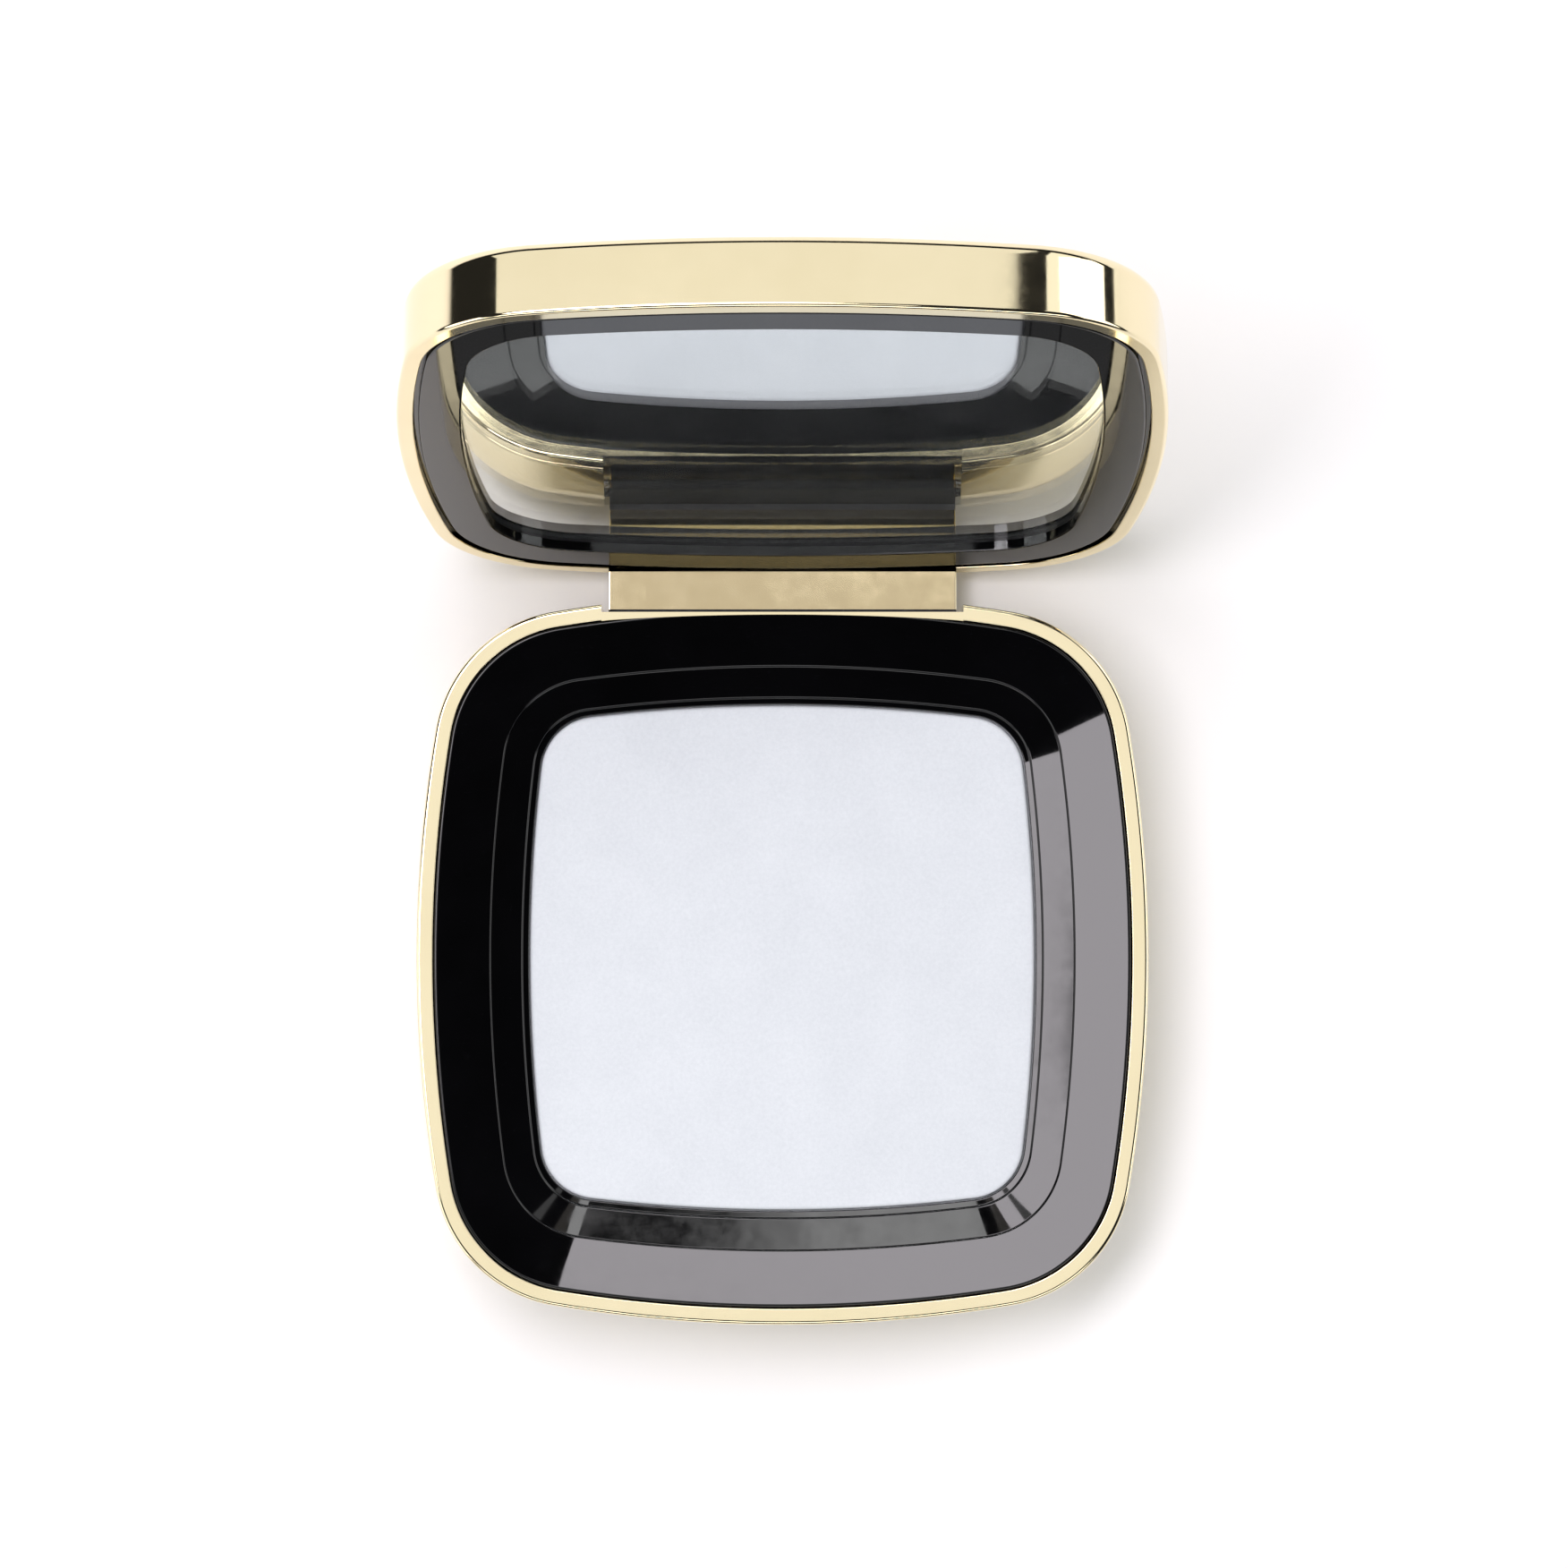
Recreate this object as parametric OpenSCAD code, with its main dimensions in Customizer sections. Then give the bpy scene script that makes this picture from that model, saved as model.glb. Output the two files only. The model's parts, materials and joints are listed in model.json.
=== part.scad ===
// Powder compact: a gold clamshell case with a bowed-square outline, shown with its lid standing open.
// Millimetres, +Z up, +Y towards the hinge. The origin is the centre of the flat underside.

/* [Outline] */
// Half of the case's width, from its centre to the middle of a side
half_w = 35; // [34:0.5:37]
// Radius of each gently bowed side
side_r = 131.4; // [125:1:150]
// Radius of each corner
corner_r = 13.7; // [13:0.1:15]
// How much the side radius grows for each millimetre the outline shrinks
side_growth = 2.15; // [1.5:0.05:2.5]
// How much the corner radius shrinks for each millimetre the outline shrinks
corner_loss = 0.77; // [0.7:0.01:0.85]

/* [Base] */
// Height of the base's rim above the underside
rim_z = 11.75; // [11.7:0.05:12.5]
// Thickness of the case wall at the rim
wall = 1.55; // [1.4:0.05:1.6]
// Thickness of the base's floor
floor_t = 1.3; // [1.2:0.05:1.5]
// Radius of the rounded edge under the side wall
foot_r = 2.4; // [2:0.1:2.6]
// Height at which the side wall starts to turn under
wall_foot_z = 6.5; // [6.3:0.05:6.7]
// Distance from the outline to the flat of the underside
bowl_inset = 11.5; // [10.5:0.1:11.8]
// Radius of the rim's outer edge
rim_r = 0.35; // [0.3:0.01:0.4]

/* [Bezel] */
// Half width of the opening that shows the powder
lip_half = 24.35; // [24.2:0.05:24.4]
// Half width at the lower step of the bezel
low_step_half = 25.15; // [25:0.05:25.3]
// Half width at the upper step of the bezel
high_step_half = 28.15; // [27.8:0.05:28.4]
// Depth of the bezel's upper step below the rim
high_step_z = 1.3; // [1.1:0.05:1.4]
// Depth of the bezel's lower step below the rim
low_step_z = 2.15; // [2:0.05:2.3]

/* [Powder] */
// Depth of the powder's face below the rim
powder_drop = 2.75; // [2.6:0.05:2.9]
// Thickness of the pan's metal
pan_t = 0.4; // [0.3:0.05:0.45]

/* [Lid] */
// Height of the lid's side wall with its rounded edge
lid_h = 6.8; // [6.6:0.1:7]
// Radius of the rounded edge at the back of the lid
edge_r = 1.3; // [1.1:0.05:1.5]
// Height of the lid's low crown above the side wall
crown_h = 0.7; // [0.5:0.1:0.9]
// Half width of the mirror's opening
mirror_half = 29.15; // [29:0.05:29.3]
// Thickness of the mirror glass
mirror_t = 1.5; // [1.3:0.1:1.5]

/* [Hinge] */
// Angle from closed to the open stop
open_angle = 107.2; // [95:0.1:107.2]
// Distance of the pin in from the rearmost edge
pin_inset = 2.8; // [2.75:0.01:2.85]
// Depth of the pin below the base's rim
pin_drop = 5.5; // [5.45:0.01:5.55]
// Gap between the two rims when the case is shut
shut_gap = 0.2; // [0.15:0.01:0.25]
// Radius of the hinge pin
pin_r = 0.5; // [0.45:0.01:0.55]
// Radial clearance of the pin in the knuckle
pin_clear = 0.04; // [0.02:0.01:0.08]
// Width of the lid's hinge tongue
tongue_w = 33.7; // [30:0.1:34]
// Width of the slot in the base that the tongue turns in
slot_w = 34.6; // [34.4:0.1:35]

/* [Closure] */
// Radius of a closure magnet
magnet_r = 1.5; // [1.3:0.05:1.6]
// Distance of each magnet from the middle
magnet_x = 9; // [6:0.5:12]

/* [Hidden] */
$fn = 48;

// Hinge axis
pin_y = half_w - pin_inset;
pin_z = rim_z - pin_drop;
lid_rim_drop = pin_drop + shut_gap;

// Inside of the base
inner_half = half_w - wall;
carrier_z = 5.0;
carrier_t = 1.2;
glue_t = 0.15;
pan_half = 24.9;
pan_z = carrier_z + carrier_t + glue_t;
pan_rim_z = rim_z - 3.3;
bezel_half = inner_half - 0.05;
magnet_y = half_w - 4.4;
magnet_t = 1.5;
label_half = 18;
label_t = 0.2;

// Hinge bracket: ears beside the tongue's slot, joined by a bar in front of it
ear_x0 = slot_w/2;
ear_x1 = 20.4;
bar_y0 = half_w - 7.7;
bar_y1 = half_w - 6.1;
bar_z0 = 3.2;
bar_z1 = 4.6;

// Inside of the lid, measured from its rim
frame_half = half_w - 2;
frame_back = 3.0;
glass_z = 1.1;
plate_half = half_w - 1.7;
plate_t = 1.4;
ceiling_z = 5.7;
turn_clear = 0.15;

// Hinge tongue: a gold cover over a black knuckle, measured from the pin with the lid shut
tongue_root = 2.5;
root_y = 1.15;
blade_end_y = 1.93;
blade_end_z = 2.1;
skin_y = 2.0;
knuckle_r = 1.0;
web_slope = 0.31;
cover_arc_r = 355;

// Straight wall across the slot, behind the bezel
slot_wall_y = half_w - 1.85;
slot_wall_in = half_w - 3.1;
slot_wall_z = rim_z - 3.75;
slot_wall_step = 0.6;
slot_arc_y = half_w - 2.1;
slot_arc_r = 258;

lid_magnet_y = half_w - 3.7;

// Smoothness of the outline
side_steps = 8;
corner_steps = 12;
arc_steps = 8;

// Outline of the case: four bowed sides joined by four round corners, at half width a
function side_radius(a) = side_r + side_growth*(half_w - a);
function corner_radius(a) = corner_r - corner_loss*(half_w - a);
function side_offset(a) = side_radius(a) - a;
function corner_place(a) =
    let (reach = side_radius(a) - corner_radius(a), q = side_offset(a))
    (sqrt(2*reach*reach - q*q) - q)/2;
function side_angle(a) = atan2(corner_place(a), corner_place(a) + side_offset(a));
function turned(p, t) = [p[0]*cos(t) - p[1]*sin(t), p[0]*sin(t) + p[1]*cos(t)];
function quarter(a) =
    let (f = side_angle(a), q = side_offset(a), c = corner_place(a), R = side_radius(a), r = corner_radius(a))
    concat(
        [for (i = [0:side_steps - 1]) let (t = f*(2*i/side_steps - 1)) [R*cos(t) - q, R*sin(t)]],
        [for (i = [0:corner_steps - 1]) let (t = f + (90 - 2*f)*i/corner_steps)
            [c + r*cos(t), c + r*sin(t)]]);
function outline(a) = [for (k = [0:3]) for (p = quarter(a)) turned(p, 90*k)];
function level(a, z) = [for (p = outline(a)) [p[0], p[1], z]];

// Points of an arc in a [half width, height] profile
function arc(ca, cz, r, t0, t1, n) =
    [for (i = [0:n]) let (t = t0 + (t1 - t0)*i/n) [ca + r*cos(t), cz + r*sin(t)]];
// A bowl meets the flat at inset d, and an edge of radius r centred at height h: bowl's radius and end angle
function bowl_radius(d, h, r) = (pow(d - r, 2) + h*h - r*r)/(2*(h - r));
function bowl_angle(d, h, r) = atan2(d - r, bowl_radius(d, h, r) - h);

// Solid whose section follows the profile around the outline; a ring's profile closes on itself
module swept(profile, ring = false) {
    n = 4*(side_steps + corner_steps);
    rows = len(profile);
    spans = ring ? rows : rows - 1;
    walls = [for (j = [0:spans - 1]) for (i = [0:n - 1])
        let (k = (j + 1) % rows, m = (i + 1) % n)
        [j*n + i, k*n + i, k*n + m, j*n + m]];
    caps = ring ? [] : [[for (i = [0:n - 1]) i], [for (i = [n - 1:-1:0]) (rows - 1)*n + i]];
    polyhedron([for (p = profile) each level(p[0], p[1])], concat(walls, caps), convexity = 6);
}

// Straight-walled slab of half width a
module slab(a, z, t) {
    translate([0, 0, z]) linear_extrude(t) polygon(outline(a));
}

// Cylinder along X, centred
module across(r, len) {
    rotate([0, 90, 0]) cylinder(r = r, h = len, center = true);
}

// Turns a lid part, drawn shut with its rim at height 0, to the open stop
module lid_open() {
    translate([0, pin_y, pin_z]) rotate([-open_angle, 0, 0]) translate([0, -pin_y, lid_rim_drop]) children();
}

// Section of the hinge bracket's ears
module ear_section() {
    back = pin_y + 0.8;
    top = pin_z + 1.55;
    polygon([[bar_y0, bar_z0], [pin_y - 2.7, bar_z0], [back, pin_z - 0.95], [back, pin_z + 0.95],
             [pin_y + 0.2, top], [pin_y - 1.6, top], [bar_y0, bar_z1]]);
}

// Two ears and the bar that joins them
module bracket_body() {
    for (side = [0, 1]) mirror([side, 0, 0]) translate([ear_x0, 0, 0]) rotate([90, 0, 90])
        linear_extrude(ear_x1 - ear_x0) ear_section();
    translate([-ear_x0 - 0.5, bar_y0, bar_z0]) cube([2*ear_x0 + 1, bar_y1 - bar_y0, bar_z1 - bar_z0]);
}

// Everything in front of a shallow arc of radius r with its crown at y
module before_arc(y, r, width, z0, h) {
    reach = width/2 + 1;
    spread = asin(reach/r);
    translate([0, 0, z0]) linear_extrude(h) polygon(concat(
        [for (i = [-arc_steps:arc_steps]) let (t = spread*i/arc_steps) [r*sin(t), y - r + r*cos(t)]],
        [[reach, 0], [-reach, 0]]));
}

// Everything behind the shallow arc that the bezel follows across the slot
module behind_slot_arc(gap) {
    difference() {
        translate([-slot_w/2, pin_y - 2, 0]) cube([slot_w, 8, rim_z + 1]);
        before_arc(slot_arc_y + gap, slot_arc_r, slot_w, -1, rim_z + 3);
    }
}

// Wall across the slot; it stands under the bezel's edge and shows as a thin strip behind it
module slot_wall() {
    top = rim_z - slot_wall_step;
    translate([-slot_w/2 - 0.5, slot_wall_in, slot_wall_z])
        cube([slot_w + 1, slot_wall_y - slot_wall_in, top - slot_wall_z]);
    intersection() {
        translate([-slot_w/2, slot_wall_in, top - 0.1]) cube([slot_w, slot_wall_y - slot_wall_in, 0.64]);
        behind_slot_arc(0.04);
    }
}

module base_shell() {
    d = bowl_inset;
    R = bowl_radius(d, wall_foot_z, foot_r);
    turn = bowl_angle(d, wall_foot_z, foot_r);
    inner_turn = asin((inner_half - half_w + d)/(R - floor_t));
    flat = half_w - d;
    profile = concat(
        [[label_half + 0.1, label_t], [label_half + 0.1, 0]],
        arc(flat, R, R, -90, turn - 90, 7),
        arc(half_w - foot_r, wall_foot_z, foot_r, turn - 80, 0, 5),
        arc(half_w - rim_r, rim_z - rim_r, rim_r, 0, 90, 4),
        [[inner_half + 0.1, rim_z], [inner_half, rim_z - 0.1]],
        arc(flat, R, R - floor_t, inner_turn - 90, -90, 5));
    color("#d9b871") {
        difference() {
            union() {
                difference() {
                    swept(profile);
                    translate([-slot_w/2, pin_y + 0.05, -1]) cube([slot_w, 2*pin_inset, rim_z + 2]);
                    translate([0, pin_y, pin_z]) across(pin_inset + turn_clear, slot_w);
                }
                slot_wall();
            }
            bracket_body();
        }
    }
}

module pan_carrier() {
    post = 18;
    color("#141416") {
        difference() {
            union() {
                slab(31.5, carrier_z, carrier_t);
                for (x = [-post, post], y = [-post, post]) translate([x, y, floor_t])
                    cylinder(r = 2.5, h = carrier_z - floor_t + 0.1);
                difference() {
                    slab(26.2, carrier_z + 0.5, rim_z - 3.5 - carrier_z - 0.5);
                    slab(25.2, carrier_z + carrier_t, rim_z);
                }
                for (x = [-magnet_x, magnet_x]) translate([x, -magnet_y + 0.4, carrier_z + 0.5])
                    cylinder(r = magnet_r + 0.9, h = rim_z - 2.6 - carrier_z - 0.5);
            }
            translate([-22, bar_y0 - 0.4, 0]) cube([44, 10, rim_z]);
            for (x = [-magnet_x, magnet_x]) translate([x, -magnet_y + 0.4, rim_z - 2.6 - magnet_t])
                cylinder(r = magnet_r, h = magnet_t + 1);
        }
    }
}

module base_bezel() {
    top = rim_z - 0.05;
    under = rim_z - 3.15;
    profile = concat(
        [[lip_half, under], [low_step_half, under], [high_step_half, rim_z - high_step_z - 1.25],
         [bezel_half - 1.1, rim_z - 1.2], [bezel_half - 1, rim_z - 2.4], [bezel_half, rim_z - 2.4]],
        arc(bezel_half - 0.3, top - 0.3, 0.3, 0, 100, 4),
        arc(high_step_half, rim_z - high_step_z - 0.2, 0.2, 104, 180, 3),
        [[high_step_half - 0.22, rim_z - high_step_z - 0.3]],
        arc(low_step_half, rim_z - low_step_z - 0.2, 0.2, 104, 180, 3),
        [[low_step_half - 0.22, rim_z - low_step_z - 0.35],
         [lip_half + 0.1, rim_z - low_step_z - 0.45], [lip_half, rim_z - low_step_z - 0.55]]);
    color("#0b0b0d") difference() {
        swept(profile, ring = true);
        behind_slot_arc(0);
        translate([-slot_w/2 - 0.55, slot_wall_in - 0.05, 0])
            cube([slot_w + 1.1, 5, rim_z - slot_wall_step + 0.05]);
    }
}

module powder_pan() {
    color("#c8c9cc") difference() {
        slab(pan_half, pan_z, pan_rim_z - pan_z);
        slab(pan_half - pan_t, pan_z + pan_t, rim_z);
    }
}

module pressed_powder() {
    face = rim_z - powder_drop;
    foot = pan_z + pan_t;
    edge = lip_half - 0.1;
    color("#e6eaf3") swept(concat(
        [[pan_half - pan_t, foot], [pan_half - pan_t, pan_rim_z - 0.1], [edge, pan_rim_z]],
        arc(edge - 0.4, face - 0.4, 0.4, 0, 90, 4)));
}

module pan_adhesive() {
    color("#d8cfa8") slab(22, pan_z - glue_t, glue_t);
}

module hinge_bracket() {
    color("#141416") difference() {
        bracket_body();
        translate([0, pin_y, pin_z]) across(pin_r, 4*ear_x1);
    }
}

module hinge_pin() {
    color("#b9bbc0") translate([0, pin_y, pin_z]) across(pin_r, 2*ear_x1);
}

module base_magnets() {
    color("#8d9096") for (x = [-magnet_x, magnet_x]) translate([x, -magnet_y + 0.4, rim_z - 2.6 - magnet_t])
        cylinder(r = magnet_r, h = magnet_t);
}

module base_label() {
    color("#efefec") slab(label_half, 0, label_t);
}

module lid_shell() {
    top = lid_h + crown_h;
    d = 12;
    // The crown is the same bowl turned over, with its flat at the top
    R = bowl_radius(d, crown_h + edge_r, edge_r);
    turn = bowl_angle(d, crown_h + edge_r, edge_r);
    profile = concat(
        [[20, ceiling_z], [inner_half - 0.6, ceiling_z], [inner_half, ceiling_z - 0.6],
         [inner_half, 0.1], [inner_half + 0.1, 0]],
        arc(half_w - rim_r, rim_r, rim_r, -90, 0, 4),
        arc(half_w - edge_r, lid_h - edge_r, edge_r, 0, 90 - turn, 5),
        arc(half_w - d, top - R, R, 90 - turn + 3, 90, 4));
    color("#d9b871") lid_open() difference() {
        swept(profile);
        translate([-tongue_w/2, pin_y, -1]) cube([tongue_w, 2*pin_inset, tongue_root + 1]);
    }
}

module lid_frame() {
    profile = concat(
        [[mirror_half + 0.45, frame_back], [mirror_half + 0.45, glass_z], [mirror_half, glass_z]],
        arc(mirror_half + 0.15, 0.3, 0.15, 180, 270, 3),
        arc(frame_half - 0.2, 0.35, 0.2, 270, 360, 3),
        [[frame_half, 0.8], [inner_half - 0.05, 0.8], [inner_half - 0.05, frame_back]]);
    color("#0b0b0d") lid_open() difference() {
        swept(profile, ring = true);
        translate([-tongue_w/2 - 0.05, pin_y + root_y - 0.25, -1]) cube([tongue_w + 0.1, 5, frame_back + 2]);
        for (x = [-magnet_x, magnet_x]) translate([x, -lid_magnet_y, glass_z])
            cylinder(r = magnet_r, h = frame_back);
    }
}

module mirror_glass_slab(a, z, t) {
    lid_open() slab(a, z, t);
}

module mirror_glass() {
    color("#c9ced3") mirror_glass_slab(mirror_half + 0.35, glass_z, mirror_t);
}

module mirror_adhesive() {
    color("#d8cfa8") mirror_glass_slab(27, glass_z + mirror_t, frame_back - glass_z - mirror_t);
}

module lid_plate() {
    post = 17;
    color("#141416") lid_open() difference() {
        union() {
            slab(plate_half, frame_back, plate_t);
            for (x = [-post, post], y = [-post, post]) translate([x, y, frame_back + 0.5])
                cylinder(r = 2.5, h = ceiling_z - frame_back - 0.5);
        }
        translate([-tongue_w/2 - 0.05, pin_y + root_y - 0.25, 0]) cube([tongue_w + 0.1, 5, ceiling_z]);
    }
}

module lid_magnets() {
    color("#8d9096") lid_open() for (x = [-magnet_x, magnet_x]) translate([x, -lid_magnet_y, glass_z])
        cylinder(r = magnet_r, h = frame_back - glass_z);
}

// Quarter disc below and behind the pin
module heel(r) {
    intersection() {
        circle(r = r, $fn = 96);
        translate([0, -r]) square(r);
    }
}

// Gold cover: a blade that leans inwards towards the lid, a skin behind the knuckle and a round heel
module cover_section() {
    top = lid_rim_drop + tongue_root;
    polygon([[root_y, top], [root_y, lid_rim_drop], [blade_end_y, blade_end_z], [skin_y, blade_end_z],
             [skin_y, -0.01], [pin_inset, -0.01], [2*pin_inset, 0.5], [2*pin_inset, top]]);
    difference() {
        heel(pin_inset);
        circle(r = skin_y, $fn = 96);
    }
}

// Knuckle, with the web that carries the cover
module knuckle_section() {
    circle(r = knuckle_r, $fn = 64);
    heel(skin_y);
    polygon([[0, -0.01], [skin_y, -0.01], [skin_y, blade_end_z], [blade_end_y, blade_end_z],
             [blade_end_y, 0.9 + web_slope*blade_end_y], [0, 0.9]]);
}

// A hinge part of the lid, from its section about the pin
module hinge_part(width) {
    lid_open() translate([0, 0, -lid_rim_drop]) intersection() {
        translate([-width/2, pin_y, 0]) rotate([90, 0, 90]) linear_extrude(width) children();
        before_arc(half_w, cover_arc_r, width, -10, 30);
    }
}

module hinge_tongue() {
    color("#d9b871") hinge_part(tongue_w) cover_section();
}

module hinge_knuckle() {
    color("#141416") difference() {
        hinge_part(tongue_w) knuckle_section();
        translate([0, pin_y, pin_z]) across(pin_r + pin_clear, 2*tongue_w);
    }
}

base_shell();
pan_carrier();
base_bezel();
powder_pan();
pressed_powder();
pan_adhesive();
hinge_bracket();
hinge_pin();
base_magnets();
base_label();
lid_shell();
lid_frame();
mirror_glass();  // mirror
mirror_adhesive();
lid_plate();
lid_magnets();
hinge_knuckle();
hinge_tongue();
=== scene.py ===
"""Powder compact, open: gold case, stepped black bezel, pressed powder and a framed mirror."""
import json
import math

import bpy
from mathutils import Matrix, Vector


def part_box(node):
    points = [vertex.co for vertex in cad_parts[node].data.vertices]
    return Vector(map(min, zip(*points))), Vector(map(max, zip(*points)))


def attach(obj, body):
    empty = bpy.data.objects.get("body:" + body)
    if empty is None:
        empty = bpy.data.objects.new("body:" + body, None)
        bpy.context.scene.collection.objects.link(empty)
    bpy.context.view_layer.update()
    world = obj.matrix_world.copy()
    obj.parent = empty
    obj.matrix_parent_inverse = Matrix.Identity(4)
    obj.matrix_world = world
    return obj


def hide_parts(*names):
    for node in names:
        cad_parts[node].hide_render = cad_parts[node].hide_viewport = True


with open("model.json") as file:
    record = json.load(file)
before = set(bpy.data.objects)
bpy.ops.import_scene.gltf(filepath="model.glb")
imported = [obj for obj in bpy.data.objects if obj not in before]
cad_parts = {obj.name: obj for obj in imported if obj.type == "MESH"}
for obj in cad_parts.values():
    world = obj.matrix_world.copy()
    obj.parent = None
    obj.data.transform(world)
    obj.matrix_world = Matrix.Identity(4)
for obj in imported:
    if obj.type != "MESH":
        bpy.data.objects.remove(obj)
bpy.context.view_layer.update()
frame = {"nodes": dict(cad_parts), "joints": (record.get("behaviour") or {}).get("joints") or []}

MM = 0.001

# ---- Sizes taken from the frame, in millimetres -------------------------------------------------
hinge = next(j for j in frame["joints"] if j["name"] == "lid_hinge")
OPEN = math.radians(hinge["range_deg"][1])
PIN_Y = hinge["pos_m"][1] / MM
PIN_Z = hinge["pos_m"][2] / MM
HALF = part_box("base_shell")[1].x / MM
RIM_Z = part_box("base_shell")[1].z / MM
TONGUE_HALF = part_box("hinge_tongue")[1].x / MM
POWDER_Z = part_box("pressed_powder")[1].z / MM
POWDER_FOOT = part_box("pressed_powder")[0].z / MM
BEZEL_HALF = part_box("base_bezel")[1].x / MM
BEZEL_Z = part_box("base_bezel")[1].z / MM
FRAME_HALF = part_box("lid_frame")[1].x / MM
GLASS_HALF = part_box("mirror")[1].x / MM

# ---- Design sizes of the case, in millimetres ---------------------------------------------------
SIDE_R = 131.4
CORNER_R = 13.7
SIDE_GROWTH = 2.15
CORNER_LOSS = 0.77
WALL = 1.55
FLOOR_T = 1.3
FOOT_R = 2.4
FOOT_Z = 6.5
BOWL_INSET = 11.5
RIM_R = 0.35
LIP_HALF = 24.35
LOW_STEP = 25.15
HIGH_STEP = 28.15
HIGH_STEP_Z = 1.3
LOW_STEP_Z = 2.15
LABEL_HALF = 18.0
LABEL_T = 0.2
PIN_DROP = RIM_Z - PIN_Z
LID_RIM_DROP = PIN_DROP + 0.2
LID_H = 6.8
CROWN = 0.7
LID_EDGE_R = 1.3
CROWN_INSET = 12.0
CEILING = 5.7
MIRROR_HALF = 29.15
GLASS_Z = 1.1
GLASS_T = 1.5
FRAME_BACK = 3.0
FRAME_FACE_HALF = 33.0
HEEL_R = HALF - PIN_Y
TONGUE_ROOT = 2.5
ROOT_Y = 1.15
BLADE_Y = 1.93
BLADE_Z = 2.1
SKIN_Y = 2.0
KNUCKLE_R = 1.0
PIN_BORE_R = 0.54
WEB_SLOPE = 0.31
COVER_ARC_R = 355.0
SLOT_HALF = 17.3
SLOT_WALL_Y = 33.15
SLOT_WALL_IN = 31.9
SLOT_WALL_Z = 8.0
SLOT_WALL_STEP = 0.6
SLOT_ARC_Y = 32.9
SLOT_ARC_R = 258.0
SLOT_LIP = 0.54
SLOT_GAP = 0.04
TURN_CLEAR = 0.15
FIT = 0.05
INNER_R = 0.08
BEZEL_UNDER_DROP = 3.15
BEZEL_SKIRT_DROP = 2.4
BEZEL_EDGE_R = 0.3
STEP_R = 0.2
LIP_R = 0.1
PAN_RIM_DROP = 3.3
POWDER_EDGE_R = 0.4
FRAME_LIP_R = 0.15
FRAME_EDGE_R = 0.2
FRAME_STEP_Z = 0.8
COAT_T = 0.05
COAT_INSET = 0.02
PLATE_GAP = 0.06
KNUCKLE_TOP = 0.9
KNUCKLE_START = 116
END_EASE = 0.12

# ---- Points along curves ------------------------------------------------------------------------
SIDE_STEPS = 24
CORNER_STEPS = 32
SLOT_STEPS = 32
CUT_STEPS = 64


# ---- Outline and sweeping -----------------------------------------------------------------------
def outline(a):
    """Points of the bowed square of half width a: four wide arcs joined by four corner arcs."""
    big = SIDE_R + SIDE_GROWTH * (HALF - a)
    small = CORNER_R - CORNER_LOSS * (HALF - a)
    q = big - a
    reach = big - small
    c = (math.sqrt(2 * reach * reach - q * q) - q) / 2
    f = math.atan2(c, c + q)
    quarter = [(big * math.cos(t) - q, big * math.sin(t))
               for t in (f * (2 * i / SIDE_STEPS - 1) for i in range(SIDE_STEPS))]
    quarter += [(c + small * math.cos(t), c + small * math.sin(t))
                for t in (f + (math.pi / 2 - 2 * f) * i / CORNER_STEPS for i in range(CORNER_STEPS))]
    turns = [(1, 0), (0, 1), (-1, 0), (0, -1)]
    return [(x * u - y * v, x * v + y * u) for u, v in turns for x, y in quarter]


def arc(ca, cz, r, start, end, n):
    """Profile points of an arc, angles in degrees."""
    angles = [math.radians(start + (end - start) * i / n) for i in range(n + 1)]
    return [(ca + r * math.cos(t), cz + r * math.sin(t)) for t in angles]


def bowl(inset, height, r):
    """Radius and end angle of a bowl that meets the flat at inset and an edge of radius r."""
    radius = ((inset - r) ** 2 + height * height - r * r) / (2 * (height - r))
    return radius, math.degrees(math.atan2(inset - r, radius - height))


def new_object(name, verts, faces, sharp=32):
    """Mesh object in metres from points in millimetres, smooth but for its sharp edges."""
    mesh = bpy.data.meshes.new(name)
    mesh.from_pydata([(x * MM, y * MM, z * MM) for x, y, z in verts], [], faces)
    mesh.validate()
    piece = bpy.data.objects.new(name, mesh)
    bpy.context.scene.collection.objects.link(piece)
    smooth(piece, sharp)
    return piece


def smooth(piece, sharp):
    """Shades smooth but for edges sharper than the given angle."""
    mesh = piece.data
    for poly in mesh.polygons:
        poly.use_smooth = True
    mesh.set_sharp_from_angle(angle=math.radians(sharp))


def firm(profile, ring, gap=0.03, longest=0.4):
    """Adds a point close to each end of every long straight span, so that it shades flat."""
    points = []
    count = len(profile)
    for i, (a, z) in enumerate(profile):
        points.append((a, z))
        if i == count - 1 and not ring:
            break
        b, w = profile[(i + 1) % count]
        length = math.hypot(b - a, w - z)
        if length > longest:
            share = gap / length
            points.append((a + (b - a) * share, z + (w - z) * share))
            points.append((b - (b - a) * share, w - (w - z) * share))
    return points


def sweep(name, profile, ring=False, sharp=32):
    """Solid whose section follows the profile of (half width, height) round the outline."""
    profile = firm(profile, ring)
    verts = [(x, y, z) for a, z in profile for x, y in outline(a)]
    n = 4 * (SIDE_STEPS + CORNER_STEPS)
    rows = len(profile)
    spans = rows if ring else rows - 1
    faces = []
    for j in range(spans):
        k = (j + 1) % rows
        faces += [(j * n + i, j * n + (i + 1) % n, k * n + (i + 1) % n, k * n + i) for i in range(n)]
    if not ring:
        faces.append(tuple(reversed(range(n))))
        faces.append(tuple(range((rows - 1) * n, rows * n)))
    return new_object(name, verts, faces, sharp)


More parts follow.
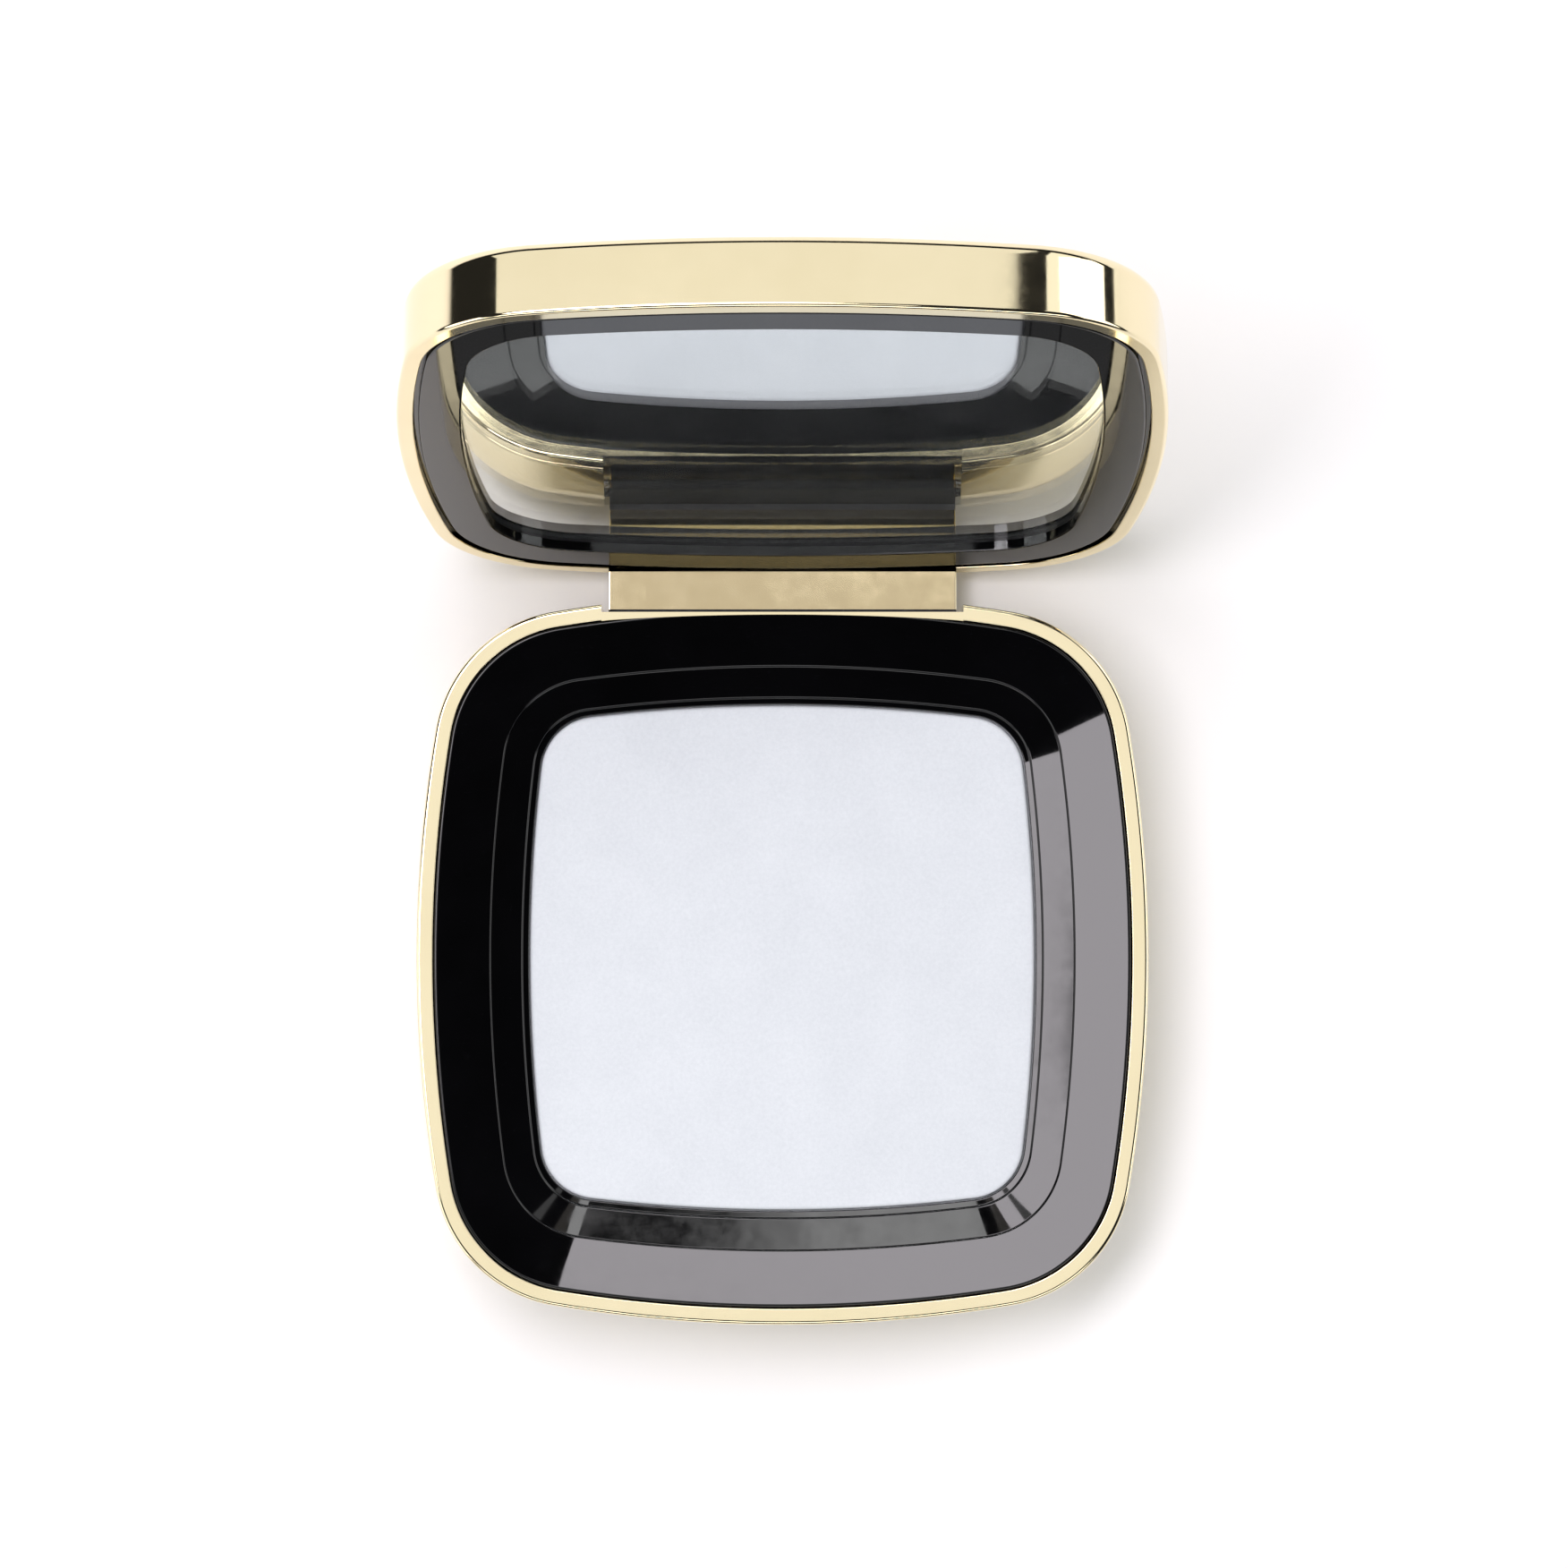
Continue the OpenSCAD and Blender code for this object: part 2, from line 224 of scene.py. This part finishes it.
def cutter(name, lo, hi):
    """Box used to cut another piece."""
    xs, ys, zs = zip(lo, hi)
    verts = [(x, y, z) for x in xs for y in ys for z in zs]
    faces = [(0, 1, 3, 2), (4, 6, 7, 5), (0, 4, 5, 1), (2, 3, 7, 6), (0, 2, 6, 4), (1, 5, 7, 3)]
    return new_object(name, verts, faces)


def prism(name, outline_points, z0, z1):
    """Upright solid over a plan outline given anticlockwise."""
    n = len(outline_points)
    verts = [(x, y, z) for z in (z0, z1) for x, y in outline_points]
    faces = [(i, (i + 1) % n, n + (i + 1) % n, n + i) for i in range(n)]
    faces += [tuple(reversed(range(n))), tuple(range(n, 2 * n))]
    return new_object(name, verts, faces)


def slot_arc(x, gap=0.0):
    """Depth of the shallow arc that the bezel follows across the slot."""
    return SLOT_ARC_Y + gap - SLOT_ARC_R + math.sqrt(SLOT_ARC_R ** 2 - x * x)


def behind_arc(name, half, gap, back, z0, z1):
    """Solid from the slot's arc backwards."""
    steps = [half * (2 * i / SLOT_STEPS - 1) for i in range(SLOT_STEPS + 1)]
    front = [(x, slot_arc(x, gap)) for x in steps]
    return prism(name, front + [(half, back), (-half, back)], z0, z1)


def barrel_cutter(name, r, half_len, steps=CUT_STEPS):
    """Cylinder along X about the hinge pin, used to cut another piece."""
    circle = [(PIN_Y + r * math.cos(2 * math.pi * i / steps), PIN_Z + r * math.sin(2 * math.pi * i / steps))
              for i in range(steps)]
    verts = [(x, y, z) for x in (-half_len, half_len) for y, z in circle]
    faces = [(i, (i + 1) % steps, steps + (i + 1) % steps, steps + i) for i in range(steps)]
    faces += [tuple(reversed(range(steps))), tuple(range(steps, 2 * steps))]
    return new_object(name, verts, faces)


def cut(piece, tools, sharp=32):
    """Takes the tools' shapes out of the piece, then deletes them."""
    for tool in tools:
        mod = piece.modifiers.new("cut", "BOOLEAN")
        mod.operation = "DIFFERENCE"
        mod.solver = "EXACT"
        mod.object = tool
    settle(piece)
    for tool in tools:
        bpy.data.objects.remove(tool, do_unlink=True)
    smooth(piece, sharp)


def settle(piece):
    """Replaces the piece's mesh by the result of its modifiers."""
    graph = bpy.context.evaluated_depsgraph_get()
    graph.update()
    result = bpy.data.meshes.new_from_object(piece.evaluated_get(graph))
    piece.modifiers.clear()
    piece.data = result


def lid_matrix():
    """From the shut lid, with its rim at height 0, to the open lid."""
    pin = Vector((0, PIN_Y, PIN_Z)) * MM
    shut = Matrix.Translation(Vector((0, -PIN_Y, LID_RIM_DROP)) * MM)
    return Matrix.Translation(pin) @ Matrix.Rotation(-OPEN, 4, "X") @ shut


def open_lid(piece):
    """Moves a piece made on the shut lid to the open lid."""
    piece.data.transform(lid_matrix())
    piece.data.update()


# ---- Materials ----------------------------------------------------------------------------------
def shader(name, color, metallic=0.0, rough=0.4, **inputs):
    """New material with its principled shader; returns material, shader, node tree and coordinates."""
    mat = bpy.data.materials.new(name)
    mat.use_nodes = True
    tree = mat.node_tree
    bsdf = tree.nodes["Principled BSDF"]
    bsdf.inputs["Base Color"].default_value = (*color, 1)
    bsdf.inputs["Metallic"].default_value = metallic
    bsdf.inputs["Roughness"].default_value = rough
    for key, value in inputs.items():
        bsdf.inputs[key.replace("_", " ")].default_value = value
    coords = tree.nodes.new("ShaderNodeTexCoord").outputs["Object"]
    return mat, bsdf, tree, coords


def noise(tree, coords, size, detail=3.0, rough=0.5):
    """Noise whose features are about size millimetres across."""
    node = tree.nodes.new("ShaderNodeTexNoise")
    node.inputs["Scale"].default_value = 1 / (size * MM)
    node.inputs["Detail"].default_value = detail
    node.inputs["Roughness"].default_value = rough
    tree.links.new(coords, node.inputs["Vector"])
    return node.outputs["Fac"]


def remap(tree, value, low, high, from_low=0.3, from_high=0.7):
    """Value stretched from its usual spread to the range low to high."""
    node = tree.nodes.new("ShaderNodeMapRange")
    node.inputs["From Min"].default_value = from_low
    node.inputs["From Max"].default_value = from_high
    node.inputs["To Min"].default_value = low
    node.inputs["To Max"].default_value = high
    tree.links.new(value, node.inputs["Value"])
    return node.outputs["Result"]


def blend_colors(tree, value, first, second):
    """Colour between the two, by a value from 0 to 1."""
    node = tree.nodes.new("ShaderNodeMix")
    node.data_type = "RGBA"
    node.inputs["A"].default_value = (*first, 1)
    node.inputs["B"].default_value = (*second, 1)
    tree.links.new(value, node.inputs["Factor"])
    return next(o for o in node.outputs if o.type == "RGBA")


def bump(tree, bsdf, height, depth, strength=1.0):
    """Relief of depth millimetres."""
    node = tree.nodes.new("ShaderNodeBump")
    node.inputs["Distance"].default_value = depth * MM
    node.inputs["Strength"].default_value = strength
    tree.links.new(height, node.inputs["Height"])
    tree.links.new(node.outputs["Normal"], bsdf.inputs["Normal"])


def gold_material():
    mat, bsdf, tree, coords = shader("gold_polished", (0.92, 0.80, 0.52), metallic=1.0, rough=0.07)
    cloud = noise(tree, coords, 9.0, detail=4)
    tint = blend_colors(tree, remap(tree, cloud, 0, 1), (0.93, 0.815, 0.55), (0.89, 0.775, 0.51))
    tree.links.new(tint, bsdf.inputs["Base Color"])
    wipe = noise(tree, coords, 1.6, detail=6, rough=0.6)
    tree.links.new(remap(tree, wipe, 0.045, 0.085), bsdf.inputs["Roughness"])
    bump(tree, bsdf, noise(tree, coords, 6.0, detail=2), 0.004, 0.6)
    return mat


def black_gloss_material():
    mat, bsdf, tree, coords = shader("black_lacquer", (0.0025, 0.0025, 0.003), rough=0.03, IOR=1.5)
    wipe = noise(tree, coords, 2.2, detail=6, rough=0.6)
    tree.links.new(remap(tree, wipe, 0.02, 0.05), bsdf.inputs["Roughness"])
    cloud = noise(tree, coords, 7.0)
    tint = blend_colors(tree, remap(tree, cloud, 0, 1), (0.0008, 0.0008, 0.001), (0.0016, 0.0016, 0.002))
    tree.links.new(tint, bsdf.inputs["Base Color"])
    bump(tree, bsdf, noise(tree, coords, 5.0, detail=2), 0.003, 0.5)
    return mat


def powder_material():
    mat, bsdf, tree, coords = shader("pressed_powder", (0.79, 0.82, 0.89), rough=0.75)
    grain = noise(tree, coords, 0.35, detail=8, rough=0.75)
    cloud = noise(tree, coords, 6.0, detail=4)
    mixed = tree.nodes.new("ShaderNodeMath")
    mixed.operation = "ADD"
    tree.links.new(remap(tree, grain, 0.0, 0.7), mixed.inputs[0])
    tree.links.new(remap(tree, cloud, 0.0, 0.3), mixed.inputs[1])
    tint = blend_colors(tree, mixed.outputs[0], (0.63, 0.665, 0.70), (0.74, 0.775, 0.81))
    tree.links.new(tint, bsdf.inputs["Base Color"])
    bump(tree, bsdf, grain, 0.02, 0.5)
    return mat


def glass_material():
    mat, bsdf, tree, coords = shader("mirror_glass", (0.97, 0.985, 0.98), rough=0.0, IOR=1.5,
                                      Transmission_Weight=1.0)
    wipe = noise(tree, coords, 6.0, detail=4)
    tree.links.new(remap(tree, wipe, 0.0, 0.006), bsdf.inputs["Roughness"])
    return mat


def silver_material():
    mat, bsdf, tree, coords = shader("mirror_silver", (0.9, 0.91, 0.92), metallic=0.93, rough=0.01)
    haze = noise(tree, coords, 8.0, detail=4)
    tree.links.new(remap(tree, haze, 0.92, 0.95), bsdf.inputs["Metallic"])
    return mat


def moulded_material():
    mat, bsdf, tree, coords = shader("black_moulding", (0.02, 0.02, 0.022), rough=0.5)
    grain = noise(tree, coords, 0.3, detail=5)
    tree.links.new(remap(tree, grain, 0.42, 0.6), bsdf.inputs["Roughness"])
    bump(tree, bsdf, grain, 0.01, 0.5)
    return mat


def metal_material(name, color, low, high, size):
    mat, bsdf, tree, coords = shader(name, color, metallic=1.0, rough=low)
    grain = noise(tree, coords, size, detail=6)
    tree.links.new(remap(tree, grain, low, high), bsdf.inputs["Roughness"])
    bump(tree, bsdf, grain, 0.004, 0.5)
    return mat


def glue_material():
    mat, bsdf, tree, coords = shader("hot_melt", (0.7, 0.62, 0.4), rough=0.35)
    cloud = noise(tree, coords, 2.0, detail=4)
    tint = blend_colors(tree, remap(tree, cloud, 0, 1), (0.68, 0.6, 0.38), (0.78, 0.72, 0.52))
    tree.links.new(tint, bsdf.inputs["Base Color"])
    bump(tree, bsdf, cloud, 0.05, 0.6)
    return mat


def paper_material():
    mat, bsdf, tree, coords = shader("label_paper", (0.86, 0.86, 0.84), rough=0.65)
    fibre = noise(tree, coords, 0.25, detail=8, rough=0.7)
    tint = blend_colors(tree, remap(tree, fibre, 0, 1), (0.82, 0.82, 0.80), (0.9, 0.9, 0.885))
    tree.links.new(tint, bsdf.inputs["Base Color"])
    bump(tree, bsdf, fibre, 0.01, 0.6)
    return mat


def dress(piece, mat):
    """Gives a piece its one material."""
    piece.data.materials.clear()
    piece.data.materials.append(mat)


def paint_edge_shade(piece, mat):
    """Gives the narrow faces round a plate a second, black material: painted shade that hides the bright
    line the glass edge would catch.
    """
    piece.data.materials.append(mat)
    for poly in piece.data.polygons:
        if len(poly.vertices) == 4:
            poly.material_index = 1


def dress_node(name, mat):
    """Gives a CAD node that is carried over its material."""
    piece = frame["nodes"][name]
    if not piece.material_slots:
        piece.data.materials.append(mat)
    for slot in piece.material_slots:
        slot.material = mat


# ---- Pieces of the base -------------------------------------------------------------------------
def base_case():
    radius, turn = bowl(BOWL_INSET, FOOT_Z, FOOT_R)
    flat = HALF - BOWL_INSET
    inner = HALF - WALL
    inner_turn = math.degrees(math.asin((inner - flat) / (radius - FLOOR_T)))
    profile = [(LABEL_HALF + 0.1, LABEL_T), (LABEL_HALF + 0.1, 0.05), (LABEL_HALF + 0.15, 0)]
    profile += arc(flat, radius, radius, -90, turn - 90, 24)
    profile += arc(HALF - FOOT_R, FOOT_Z, FOOT_R, turn - 86, 0, 14)
    profile += arc(HALF - RIM_R, RIM_Z - RIM_R, RIM_R, 0, 90, 8)
    profile += arc(inner + INNER_R, RIM_Z - INNER_R, INNER_R, 90, 180, 3)
    profile += arc(flat, radius, radius - FLOOR_T, inner_turn - 90, -90, 12)
    piece = sweep("base_case", profile)
    slot = cutter("slot_cut", (-SLOT_HALF, PIN_Y + FIT, -1), (SLOT_HALF, HALF + 2, RIM_Z + 1))
    turning = barrel_cutter("turning_cut", HEEL_R + TURN_CLEAR, SLOT_HALF)
    cut(piece, [slot, turning])
    join(piece, slot_wall())
    return piece


def slot_wall():
    """Wall across the slot, with the thin strip that shows behind the bezel."""
    top = RIM_Z - SLOT_WALL_STEP
    half = SLOT_HALF
    wall = cutter("slot_wall", (-half, SLOT_WALL_IN, SLOT_WALL_Z), (half, SLOT_WALL_Y, top))
    lip = behind_arc("slot_lip", half, SLOT_GAP, SLOT_WALL_Y, top, top + SLOT_LIP)
    join(wall, lip)
    return wall


def join(piece, other):
    """Adds the other mesh's shape to the piece as one mesh."""
    first, second = piece.data, other.data
    start = len(first.vertices)
    verts = [v.co / MM for v in first.vertices] + [v.co / MM for v in second.vertices]
    faces = [tuple(p.vertices) for p in first.polygons]
    faces += [tuple(start + i for i in p.vertices) for p in second.polygons]
    merged = new_object("merged", [tuple(v) for v in verts], faces)
    piece.data = merged.data
    bpy.data.objects.remove(merged, do_unlink=True)
    bpy.data.objects.remove(other, do_unlink=True)


def bezel():
    under = RIM_Z - BEZEL_UNDER_DROP
    skirt = RIM_Z - BEZEL_SKIRT_DROP
    high = RIM_Z - HIGH_STEP_Z
    low = RIM_Z - LOW_STEP_Z
    profile = [(LIP_HALF, under), (LOW_STEP, under), (HIGH_STEP, high - 1.25),
               (BEZEL_HALF - 1.1, RIM_Z - 1.2), (BEZEL_HALF - 1, skirt), (BEZEL_HALF, skirt)]
    profile += arc(BEZEL_HALF - BEZEL_EDGE_R, BEZEL_Z - BEZEL_EDGE_R, BEZEL_EDGE_R, 0, 102, 10)
    profile += arc(HIGH_STEP, high - STEP_R, STEP_R, 104, 180, 7)
    profile += [(HIGH_STEP - STEP_R, high - 0.27), (HIGH_STEP - 0.25, high - 0.3)]
    profile += arc(LOW_STEP, low - STEP_R, STEP_R, 104, 180, 7)
    profile += [(LOW_STEP - STEP_R, low - 0.32), (LOW_STEP - 0.25, low - 0.36)]
    profile += arc(LIP_HALF + LIP_R, low - 0.55, LIP_R, 100, 180, 4)
    piece = sweep("bezel", profile, ring=True, sharp=40)
    slot = behind_arc("bezel_cut", SLOT_HALF, 0.0, HALF + 2, 0, RIM_Z + 1)
    wide = SLOT_HALF + 0.5 + FIT
    wall_top = RIM_Z - SLOT_WALL_STEP + FIT
    seat = cutter("bezel_under", (-wide, SLOT_WALL_IN - FIT, 0), (wide, HALF + 2, wall_top))
    cut(piece, [slot, seat], sharp=40)
    return piece


def powder_cake():
    edge = LIP_HALF - 0.1
    pan_rim = RIM_Z - PAN_RIM_DROP
    profile = [(edge + 0.25, POWDER_FOOT), (edge + 0.25, pan_rim - 0.1), (edge, pan_rim)]
    profile += arc(edge - POWDER_EDGE_R, POWDER_Z - POWDER_EDGE_R, POWDER_EDGE_R, 0, 90, 10)
    profile += [(edge - 1.0 - i, POWDER_Z) for i in range(4)]
    return sweep("powder_cake", profile, sharp=60)


# ---- Pieces of the lid --------------------------------------------------------------------------
def lid_case():
    top = LID_H + CROWN
    inner = HALF - WALL
    radius, turn = bowl(CROWN_INSET, CROWN + LID_EDGE_R, LID_EDGE_R)
    profile = [(20, CEILING), (inner - 0.6, CEILING), (inner, CEILING - 0.6), (inner, INNER_R)]
    profile += arc(inner + INNER_R, INNER_R, INNER_R, 180, 270, 3)[1:]
    profile += arc(HALF - RIM_R, RIM_R, RIM_R, -90, 0, 8)
    profile += arc(HALF - LID_EDGE_R, LID_H - LID_EDGE_R, LID_EDGE_R, 0, 90 - turn, 14)
    profile += arc(HALF - CROWN_INSET, top - radius, radius, 90 - turn + 1.5, 90, 12)
    piece = sweep("lid_case", profile)
    root = cutter("root_cut", (-TONGUE_HALF, PIN_Y, -1), (TONGUE_HALF, HALF + 2, TONGUE_ROOT))
    cut(piece, [root])
    open_lid(piece)
    return piece


def mirror_frame():
    profile = [(GLASS_HALF + 0.1, FRAME_BACK), (GLASS_HALF + 0.1, GLASS_Z), (MIRROR_HALF, GLASS_Z)]
    profile += arc(MIRROR_HALF + FRAME_LIP_R, 0.3, FRAME_LIP_R, 180, 270, 6)
    profile += arc(FRAME_FACE_HALF - FRAME_EDGE_R, 0.35, FRAME_EDGE_R, 270, 360, 6)
    profile += [(FRAME_FACE_HALF, FRAME_STEP_Z), (FRAME_HALF, FRAME_STEP_Z), (FRAME_HALF, FRAME_BACK)]
    piece = sweep("mirror_frame", profile, ring=True, sharp=40)
    half = TONGUE_HALF + FIT
    root = cutter("frame_cut", (-half, PIN_Y + ROOT_Y - 0.25, -1), (half, HALF + 2, FRAME_BACK + 1))
    cut(piece, [root], sharp=40)
    open_lid(piece)
    return piece


def mirror_plate():
    back = GLASS_Z + GLASS_T - PLATE_GAP
    piece = sweep("mirror_plate", [(GLASS_HALF, GLASS_Z), (GLASS_HALF, back)], sharp=20)
    open_lid(piece)
    return piece


def mirror_coat():
    """Silver layer on the back of the glass."""
    back = GLASS_Z + GLASS_T
    edge = GLASS_HALF - COAT_INSET
    piece = sweep("mirror_coat", [(edge, back - COAT_T), (edge, back)], sharp=20)
    open_lid(piece)
    return piece


def cover_section(outer):
    """Section of the gold cover about the pin: a leaning blade, a skin and a round heel."""
    top = LID_RIM_DROP + TONGUE_ROOT
    reach = -math.degrees(math.acos(min(1.0, outer / HEEL_R)))
    points = [(ROOT_Y, top), (ROOT_Y, LID_RIM_DROP), (BLADE_Y, BLADE_Z), (SKIN_Y, BLADE_Z)]
    points += arc(0, 0, SKIN_Y, 0, -90, 20)
    points += arc(0, 0, HEEL_R, -90, reach, 20)
    points += [(outer, 0.5), (outer, LID_RIM_DROP), (outer, top)]
    return points


def knuckle_section():
    """Section of the black knuckle and of the web that carries the cover."""
    points = arc(0, 0, SKIN_Y, -90, 0, 16)
    points += [(SKIN_Y, BLADE_Z), (BLADE_Y, BLADE_Z), (BLADE_Y, KNUCKLE_TOP + WEB_SLOPE * BLADE_Y)]
    points += [(0, KNUCKLE_TOP)]
    points += arc(0, 0, KNUCKLE_R, KNUCKLE_START, 270, 24)
    return points


def across_case(name, sections, middle, sharp):
    """Solid through sections across the case, one per station, with softened ends."""
    stations = tongue_stations()
    verts = []
    for x in stations:
        near_end = max(0.0, abs(x) - (TONGUE_HALF - END_EASE)) / END_EASE
        inset = END_EASE * (1 - math.sqrt(max(0.0, 1 - near_end * near_end)))
        verts += [(x, PIN_Y + shrink(y, middle, inset), shrink(z, 0.0, inset) - LID_RIM_DROP)
                  for y, z in sections(x)]
    n = len(sections(0.0))
    rows = len(stations)
    faces = [(j * n + i, (j + 1) * n + i, (j + 1) * n + (i + 1) % n, j * n + (i + 1) % n)
             for j in range(rows - 1) for i in range(n)]
    faces.append(tuple(range(n)))
    faces.append(tuple(reversed(range((rows - 1) * n, rows * n))))
    return new_object(name, verts, faces, sharp)


def tongue_stations():
    """Places across the tongue, closer together near its softened ends."""
    flat = TONGUE_HALF - END_EASE
    places = [-TONGUE_HALF + END_EASE * (1 - math.cos(math.radians(t))) for t in (0, 30, 60, 90)]
    places += [-TONGUE_HALF + END_EASE + flat * i / 16 for i in range(1, 17)]
    places += [-x for x in reversed(places[:-1])]
    return places


def tongue():
    """Gold cover of the lid's hinge."""
    def section(x):
        return cover_section(HALF - COVER_ARC_R + math.sqrt(COVER_ARC_R ** 2 - x * x) - PIN_Y)
    piece = across_case("lid_tongue", section, 2.4, 8)
    open_lid(piece)
    return piece


def knuckle():
    """Black knuckle that turns on the pin."""
    piece = across_case("lid_knuckle", lambda x: knuckle_section(), 1.0, 35)
    open_lid(piece)
    cut(piece, [barrel_cutter("bore_cut", PIN_BORE_R, TONGUE_HALF + 1)], sharp=35)
    return piece


def shrink(value, middle, amount):
    """Moves a coordinate towards the middle by at most the amount."""
    gap = middle - value
    return value + math.copysign(min(abs(gap), amount), gap)


# ---- Studio -------------------------------------------------------------------------------------
CAMERA_XY = (0.15, 16.7)
CAMERA_HEIGHT = 536

# Lights, in metres. The screen's place and aim are (y, z).
CENTRE = (0, 0.02, 0.01)
PANEL_Z = 0.9
KEY_AZIMUTH = math.radians(141.5)
KEY_OUT = 0.38
SCREEN_PLACE = (0.95, 0.75)
SCREEN_AIM = (0.05, 0.04)
SCREEN_HEIGHT = 0.9


def camera():
    """Camera that looks straight down, as in the photo."""
    data = bpy.data.cameras.new("camera")
    data.lens = 128.8
    data.sensor_width = 36
    cam = bpy.data.objects.new("camera", data)
    cam.location = Vector((*CAMERA_XY, RIM_Z + CAMERA_HEIGHT)) * MM
    bpy.context.scene.collection.objects.link(cam)
    bpy.context.scene.camera = cam


def panel(name, size, place, target, radiance):
    """Soft area light, given by the brightness it shows."""
    data = bpy.data.lights.new(name, "AREA")
    data.shape = "RECTANGLE"
    data.size, data.size_y = size
    data.energy = radiance * math.pi * size[0] * size[1]
    light = bpy.data.objects.new(name, data)
    light.location = place
    light.rotation_mode = "QUATERNION"
    light.rotation_quaternion = (Vector(place) - Vector(target)).to_track_quat("Z", "Y")
    bpy.context.scene.collection.objects.link(light)
    return light


def floor():
    size = 3.0
    mesh = bpy.data.meshes.new("floor")
    corners = [(-size, -size, 0), (size, -size, 0), (size, size, 0), (-size, size, 0)]
    mesh.from_pydata(corners, [], [(0, 1, 2, 3)])
    piece = bpy.data.objects.new("floor", mesh)
    bpy.context.scene.collection.objects.link(piece)
    mesh.materials.append(shader("floor_white", (0.93, 0.93, 0.93), rough=0.7)[0])


def flat_panel(name, size, x, y, radiance):
    """Panel overhead that faces straight down."""
    return panel(name, size, (x, y, PANEL_Z), (x, y, 0), radiance)


def upright_panel(name, x0, x1, radiance):
    """Part of the tall screen behind the object, from x0 to x1."""
    x = (x0 + x1) / 2
    return panel(name, (x1 - x0, SCREEN_HEIGHT), (x, *SCREEN_PLACE), (x, *SCREEN_AIM), radiance)


def key_panel():
    """Main light, overhead and towards the back left."""
    out = Vector((math.cos(KEY_AZIMUTH), math.sin(KEY_AZIMUTH), 0))
    key = panel("key", (0.80, 0.36), Vector((0, 0.01, PANEL_Z)) + out * KEY_OUT, CENTRE, 7.7)
    key.rotation_quaternion = Matrix.Rotation(KEY_AZIMUTH - math.pi / 2, 4, "Z").to_quaternion()
    key.data.color = (1.0, 0.95, 1.0)


def studio():
    flat_panel("overhead", (0.34, 0.34), 0, 0.02, 1.0)
    hinge_light = flat_panel("over_hinge", (0.18, 0.06), 0, 0.217, 0.58)
    hinge_light.data.color = (1.0, 0.92, 0.83)
    flat_panel("over_front", (0.101, 0.06), 0.0495, 0.279, 5.0)
    key_panel()
    upright_panel("rear", -1.01, 0.405, 0.95)
    upright_panel("rear_right", 0.587, 1.25, 1.1)
    panel("right", (1.3, 0.7), (1.05, 0.25, 0.5), CENTRE, 2.0)
    panel("left", (1.0, 0.7), (-1.1, -0.4, 0.5), CENTRE, 2.0)
    panel("front", (1.6, 0.35), (0, -0.85, 0.85), CENTRE, 3.0)
    world = bpy.data.worlds.new("world")
    bpy.context.scene.world = world
    world.use_nodes = True
    back = world.node_tree.nodes["Background"]
    back.inputs["Color"].default_value = (0.94, 0.95, 1.0, 1)
    back.inputs["Strength"].default_value = 0.02
    bpy.context.scene.view_settings.view_transform = "Standard"


# ---- Assembly -----------------------------------------------------------------------------------
camera()
gold = gold_material()
lacquer = black_gloss_material()
moulding = moulded_material()

PIECES = [
    (base_case(), "base", "base_shell", "gold_case", gold),
    (bezel(), "base", "base_bezel", "black_gloss", lacquer),
    (powder_cake(), "base", "pressed_powder", "powder", powder_material()),
    (lid_case(), "lid", "lid_shell", "gold_case", gold),
    (mirror_frame(), "lid", "lid_frame", "black_gloss", lacquer),
    (mirror_plate(), "lid", "mirror", "mirror_glass", glass_material()),
    (mirror_coat(), "lid", "mirror", "mirror_glass", silver_material()),
    (knuckle(), "lid", "hinge_knuckle", "black_inner", moulding),
    (tongue(), "lid", "hinge_tongue", "gold_case", gold),
]
for piece, body, node, slot_name, mat in PIECES:
    dress(piece, mat)
    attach(piece, body)
    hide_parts(node)
    # The mirror plate's narrow edge faces get the black moulding as painted shade, so the glass edge shows
    # no bright line.
    if piece.name == "mirror_plate":
        paint_edge_shade(piece, moulding)

glue = glue_material()
nickel = metal_material("nickel_plate", (0.66, 0.66, 0.68), 0.15, 0.3, 0.6)
KEPT = {
    "pan_carrier": moulding, "hinge_bracket": moulding, "lid_plate": moulding,
    "pan_adhesive": glue, "mirror_adhesive": glue,
    "base_magnets": nickel, "lid_magnets": nickel,
    "powder_pan": metal_material("pan_aluminium", (0.8, 0.81, 0.83), 0.25, 0.4, 0.5),
    "hinge_pin": metal_material("pin_steel", (0.6, 0.6, 0.62), 0.2, 0.35, 0.3),
    "base_label": paper_material(),
}
for node, mat in KEPT.items():
    dress_node(node, mat)

floor()
studio()
